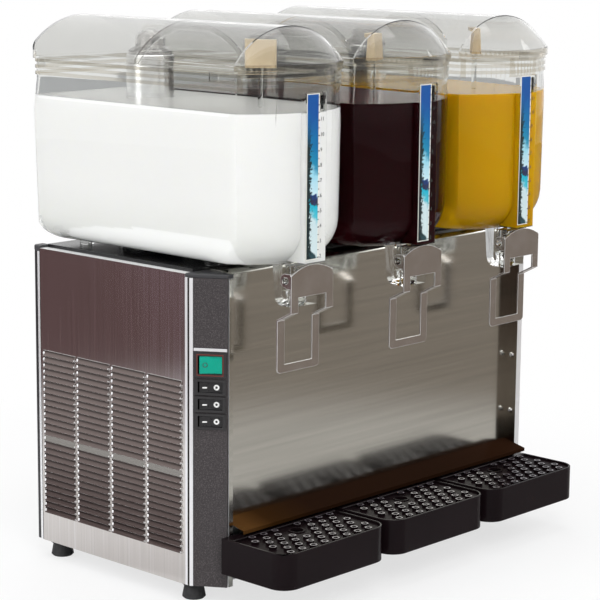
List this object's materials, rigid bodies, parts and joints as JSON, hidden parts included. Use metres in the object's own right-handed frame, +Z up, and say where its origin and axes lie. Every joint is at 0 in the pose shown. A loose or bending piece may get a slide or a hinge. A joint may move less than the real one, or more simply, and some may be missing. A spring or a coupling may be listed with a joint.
{
  "type": "juice dispenser",
  "caption": "Refrigerated counter-top juice dispenser with clear lift-off bowls, vaulted lids, steel push taps, drip trays and a louvred steel cabinet.",
  "frame": {"origin": "middle of the bounding box on the floor under the feet", "axes": "+X to the right seen from the taps, +Y to the back, +Z up"},
  "size_m": [0.584, 0.4236, 0.6695],
  "materials": {
    "brushed_sheet": "brushed",
    "zinc_sheet": "satin",
    "bright_strip": "polished",
    "screw_steel": "satin",
    "clear_plastic": "clear gloss",
    "black_plastic": "matte",
    "grey_plastic": "textured",
    "green_plastic": "gloss",
    "beige_plastic": "satin",
    "white_plastic": "satin",
    "black_rubber": "matte",
    "black_paint": "satin",
    "fin_aluminium": "satin",
    "copper_pipe": "satin"
  },
  "bodies": {
    "cabinet": {"base_pan": "zinc_sheet", "left_side_panel": "brushed_sheet", "right_side_panel": "brushed_sheet", "rear_panel": "brushed_sheet", "front_splash_panel": "brushed_sheet", "drip_ledge": "brushed_sheet", "top_deck": "black_plastic", "rear_corner_posts": "black_plastic", "post_caps": "black_plastic", "control_column": "grey_plastic", "corner_strips": "bright_strip", "feet": "black_rubber", "tray_brackets": "zinc_sheet", "panel_screws": "screw_steel", "switch_frames": "black_plastic", "evaporators": "brushed_sheet", "bowl_seals": "black_rubber", "spray_bells": "clear_plastic", "pump_motors": "grey_plastic", "compressor": "black_paint", "condenser": "black_paint", "fan_shroud": "black_paint", "fan_motor": "black_paint", "electrical_box": "grey_plastic", "refrigerant_pipes": "copper_pipe", "power_gland": "black_rubber"},
    "bowl_1": {"bowl_1": "clear_plastic", "tap_spring_1": "screw_steel"},
    "lid_1": {"lid_1": "clear_plastic"},
    "tap_lever_1": {"tap_lever_1": "brushed_sheet"},
    "tap_piston_1": {"tap_piston_1": "white_plastic"},
    "selector_1": {"selector_1": "beige_plastic"},
    "impeller_1": {"impeller_1": "white_plastic"},
    "drip_tray_1": {"drip_tray_1": "black_plastic"},
    "drip_grid_1": {"drip_grid_1": "black_plastic"},
    "pump_switch_1": {"pump_switch_1": "black_plastic"},
    "bowl_2": {"bowl_2": "clear_plastic", "tap_spring_2": "screw_steel"},
    "lid_2": {"lid_2": "clear_plastic"},
    "tap_lever_2": {"tap_lever_2": "brushed_sheet"},
    "tap_piston_2": {"tap_piston_2": "white_plastic"},
    "selector_2": {"selector_2": "beige_plastic"},
    "impeller_2": {"impeller_2": "white_plastic"},
    "drip_tray_2": {"drip_tray_2": "black_plastic"},
    "drip_grid_2": {"drip_grid_2": "black_plastic"},
    "pump_switch_2": {"pump_switch_2": "black_plastic"},
    "bowl_3": {"bowl_3": "clear_plastic", "tap_spring_3": "screw_steel"},
    "lid_3": {"lid_3": "clear_plastic"},
    "tap_lever_3": {"tap_lever_3": "brushed_sheet"},
    "tap_piston_3": {"tap_piston_3": "white_plastic"},
    "selector_3": {"selector_3": "beige_plastic"},
    "impeller_3": {"impeller_3": "white_plastic"},
    "drip_tray_3": {"drip_tray_3": "black_plastic"},
    "drip_grid_3": {"drip_grid_3": "black_plastic"},
    "pump_switch_3": {"pump_switch_3": "black_plastic"},
    "main_switch": {"main_switch": "green_plastic"},
    "fan": {"fan_blades": "fin_aluminium"}
  },
  "joints": [
    {"name": "bowl_1_lift", "type": "slide", "parent": "cabinet", "child": "bowl_1", "axis": [0, 0, 1], "range_m": [0, 0.27]},
    {"name": "lid_1_lift", "type": "slide", "parent": "bowl_1", "child": "lid_1", "axis": [0, 0, 1], "range_m": [0, 0.12]},
    {"name": "tap_lever_1_push", "type": "hinge", "parent": "bowl_1", "child": "tap_lever_1", "pos_m": [-0.196, -0.16575, 0.387], "axis": [1, 0, 0], "range_deg": [0, 16], "stiffness_Nm_per_rad": 0.6, "springref_deg": -11.46},
    {"name": "tap_piston_1_lift", "type": "slide", "parent": "bowl_1", "child": "tap_piston_1", "axis": [0, 0, 1], "range_m": [0, 0.0061], "deforming": ["tap_spring_1"]},
    {"name": "selector_1_turn", "type": "hinge", "parent": "bowl_1", "child": "selector_1", "pos_m": [-0.196, -0.09175, 0.632], "axis": [0, 0, 1], "range_deg": [-90, 90]},
    {"name": "impeller_1_spin", "type": "hinge", "parent": "cabinet", "child": "impeller_1", "pos_m": [-0.196, 0.09125, 0.397], "axis": [0, 0, 1], "continuous": true},
    {"name": "drip_tray_1_slide", "type": "slide", "parent": "cabinet", "child": "drip_tray_1", "axis": [0, -1, 0], "range_m": [0, 0.11]},
    {"name": "drip_grid_1_lift", "type": "slide", "parent": "drip_tray_1", "child": "drip_grid_1", "axis": [0, 0, 1], "range_m": [0, 0.05]},
    {"name": "bowl_2_lift", "type": "slide", "parent": "cabinet", "child": "bowl_2", "axis": [0, 0, 1], "range_m": [0, 0.27]},
    {"name": "lid_2_lift", "type": "slide", "parent": "bowl_2", "child": "lid_2", "axis": [0, 0, 1], "range_m": [0, 0.12]},
    {"name": "tap_lever_2_push", "type": "hinge", "parent": "bowl_2", "child": "tap_lever_2", "pos_m": [0, -0.16575, 0.387], "axis": [1, 0, 0], "range_deg": [0, 16], "stiffness_Nm_per_rad": 0.6, "springref_deg": -11.46},
    {"name": "tap_piston_2_lift", "type": "slide", "parent": "bowl_2", "child": "tap_piston_2", "axis": [0, 0, 1], "range_m": [0, 0.0061], "deforming": ["tap_spring_2"]},
    {"name": "selector_2_turn", "type": "hinge", "parent": "bowl_2", "child": "selector_2", "pos_m": [0, -0.09175, 0.632], "axis": [0, 0, 1], "range_deg": [-90, 90]},
    {"name": "impeller_2_spin", "type": "hinge", "parent": "cabinet", "child": "impeller_2", "pos_m": [0, 0.09125, 0.397], "axis": [0, 0, 1], "continuous": true},
    {"name": "drip_tray_2_slide", "type": "slide", "parent": "cabinet", "child": "drip_tray_2", "axis": [0, -1, 0], "range_m": [0, 0.11]},
    {"name": "drip_grid_2_lift", "type": "slide", "parent": "drip_tray_2", "child": "drip_grid_2", "axis": [0, 0, 1], "range_m": [0, 0.05]},
    {"name": "bowl_3_lift", "type": "slide", "parent": "cabinet", "child": "bowl_3", "axis": [0, 0, 1], "range_m": [0, 0.27]},
    {"name": "lid_3_lift", "type": "slide", "parent": "bowl_3", "child": "lid_3", "axis": [0, 0, 1], "range_m": [0, 0.12]},
    {"name": "tap_lever_3_push", "type": "hinge", "parent": "bowl_3", "child": "tap_lever_3", "pos_m": [0.196, -0.16575, 0.387], "axis": [1, 0, 0], "range_deg": [0, 16], "stiffness_Nm_per_rad": 0.6, "springref_deg": -11.46},
    {"name": "tap_piston_3_lift", "type": "slide", "parent": "bowl_3", "child": "tap_piston_3", "axis": [0, 0, 1], "range_m": [0, 0.0061], "deforming": ["tap_spring_3"]},
    {"name": "selector_3_turn", "type": "hinge", "parent": "bowl_3", "child": "selector_3", "pos_m": [0.196, -0.09175, 0.632], "axis": [0, 0, 1], "range_deg": [-90, 90]},
    {"name": "impeller_3_spin", "type": "hinge", "parent": "cabinet", "child": "impeller_3", "pos_m": [0.196, 0.09125, 0.397], "axis": [0, 0, 1], "continuous": true},
    {"name": "drip_tray_3_slide", "type": "slide", "parent": "cabinet", "child": "drip_tray_3", "axis": [0, -1, 0], "range_m": [0, 0.11]},
    {"name": "drip_grid_3_lift", "type": "slide", "parent": "drip_tray_3", "child": "drip_grid_3", "axis": [0, 0, 1], "range_m": [0, 0.05]},
    {"name": "main_switch_rock", "type": "hinge", "parent": "cabinet", "child": "main_switch", "pos_m": [-0.27189, -0.08917, 0.286], "axis": [0, 0, 1], "range_deg": [-14, 0]},
    {"name": "pump_switch_1_rock", "type": "hinge", "parent": "cabinet", "child": "pump_switch_1", "pos_m": [-0.27189, -0.08917, 0.26], "axis": [0, 0, 1], "range_deg": [-14, 0]},
    {"name": "pump_switch_2_rock", "type": "hinge", "parent": "cabinet", "child": "pump_switch_2", "pos_m": [-0.27189, -0.08917, 0.2399], "axis": [0, 0, 1], "range_deg": [-14, 0]},
    {"name": "pump_switch_3_rock", "type": "hinge", "parent": "cabinet", "child": "pump_switch_3", "pos_m": [-0.27189, -0.08917, 0.2198], "axis": [0, 0, 1], "range_deg": [-14, 0]},
    {"name": "fan_spin", "type": "hinge", "parent": "cabinet", "child": "fan", "pos_m": [-0.2318, 0.06325, 0.1432], "axis": [1, 0, 0], "continuous": true}
  ],
  "couplings": [
    {"joint": "tap_piston_1_lift", "follows": "tap_lever_1_push", "m_per_rad": 0.021486},
    {"joint": "tap_piston_2_lift", "follows": "tap_lever_2_push", "m_per_rad": 0.021486},
    {"joint": "tap_piston_3_lift", "follows": "tap_lever_3_push", "m_per_rad": 0.021486}
  ]
}
